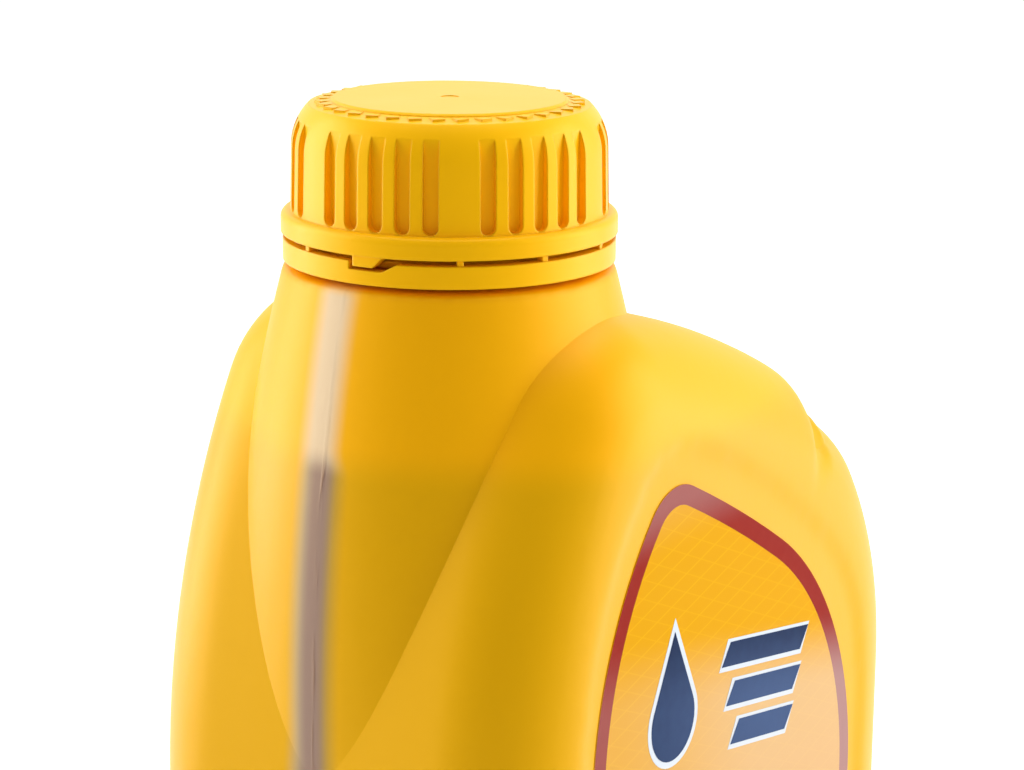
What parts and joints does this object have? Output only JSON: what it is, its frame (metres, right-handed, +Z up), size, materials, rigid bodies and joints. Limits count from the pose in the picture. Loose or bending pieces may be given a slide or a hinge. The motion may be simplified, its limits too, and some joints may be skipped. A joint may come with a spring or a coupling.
{
  "type": "motor oil bottle",
  "caption": "Flat blow-moulded oil bottle with its neck at one end, a slotted screw cap with tamper ring, labels, foil seal and oil fill.",
  "frame": {"origin": "centre of the base, in the plane that the foot stands on", "axes": "+Z up through the bottle's height, +X away from the neck's end, the labelled wide faces look to -Y and +Y"},
  "size_m": [0.1086, 0.068, 0.2021],
  "materials": {
    "bottle_wall": "semi-gloss polyethylene with a translucent view stripe",
    "cap_plastic": "semi-gloss injection-moulded",
    "liner_foam": "matt foam",
    "foil": "satin",
    "label_film": "printed film, gloss",
    "oil": "clear liquid"
  },
  "bodies": {
    "bottle": {"bottle": "bottle_wall", "front_label": "label_film", "back_label": "label_film", "oil_fill": "oil", "foil_seal": "foil"},
    "liner": {"cap_liner": "liner_foam"},
    "cap": {"cap": "cap_plastic"},
    "ring": {"tamper_ring": "cap_plastic"}
  },
  "joints": [
    {"name": "cap_lift", "type": "slide", "parent": "bottle", "child": "liner", "axis": [0, 0, 1], "range_m": [0, 0.0064]},
    {"name": "cap_turn", "type": "hinge", "parent": "liner", "child": "cap", "pos_m": [-0.02375, 0, 0.184], "axis": [0, 0, 1], "range_deg": [0, 540]},
    {"name": "ring_turn", "type": "hinge", "parent": "bottle", "child": "ring", "pos_m": [-0.02375, 0, 0.184], "axis": [0, 0, 1], "range_deg": [0, 541]}
  ],
  "couplings": [
    {"joint": "cap_lift", "follows": "cap_turn", "m_per_rad": 0.00066845},
    {"joint": "ring_turn", "follows": "cap_turn", "ratio": 1}
  ]
}
